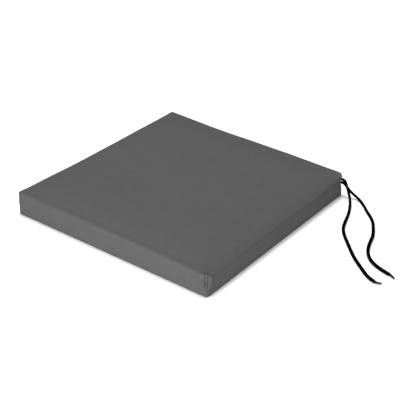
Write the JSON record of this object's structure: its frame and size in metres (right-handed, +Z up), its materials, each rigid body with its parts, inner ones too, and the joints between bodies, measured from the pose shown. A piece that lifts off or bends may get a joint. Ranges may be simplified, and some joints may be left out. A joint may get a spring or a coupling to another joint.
{
  "type": "chair seat pad",
  "caption": "Flat square foam seat pad in a plain woven cover, with a zip along its back side and a cord tie at one back corner.",
  "frame": {"origin": "middle of the base of the pad's box, on the surface that it lies on, with the tie's two loose strands left out of the box", "axes": "+Z up through the pad's thickness; +Y towards the chair's back and the side with the zip; +X to the sitter's right and the corner with the tie"},
  "size_m": [0.6008, 0.4054, 0.0425],
  "materials": {
    "cover": "matte",
    "foam": "matte",
    "thread": "matte",
    "zip_tape": "matte",
    "zip_coil": "satin",
    "zip_metal": "satin",
    "cord": "matte"
  },
  "bodies": {
    "pad": {"foam_core": "foam", "cover_top_panel": "cover", "cover_bottom_panel": "cover", "corner_seam_front_left": "thread", "corner_seam_front_right": "thread", "corner_seam_back_left": "thread", "corner_seam_back_right_lower": "thread", "corner_seam_back_right_upper": "thread", "base_seam": "thread", "zip_tape_upper": "zip_tape", "zip_tape_lower": "zip_tape", "zip_coil_upper": "zip_coil", "zip_coil_lower": "zip_coil", "zip_top_stop_upper": "zip_metal", "zip_top_stop_lower": "zip_metal", "zip_bottom_stop": "zip_metal", "zip_stitching_upper": "thread", "zip_stitching_lower": "thread", "tie_strand_upper": "cord", "tie_strand_lower": "cord", "tie_tip_upper": "cord", "tie_tip_lower": "cord", "tie_fold": "cord", "tie_bartack": "thread"},
    "zip_slider": {"zip_slider_body": "zip_metal"},
    "pull_tab": {"zip_pull_tab": "zip_metal"}
  },
  "joints": [
    {"name": "zip_slide", "type": "slide", "parent": "pad", "child": "zip_slider", "axis": [1, 0, 0], "range_m": [0, 0.3035], "deforming": ["zip_coil_upper", "zip_coil_lower"]},
    {"name": "pull_tab_hinge", "type": "hinge", "parent": "zip_slider", "child": "pull_tab", "pos_m": [-0.1515, 0.2009, 0.021], "axis": [0, 0, 1], "range_deg": [0, 180]}
  ]
}
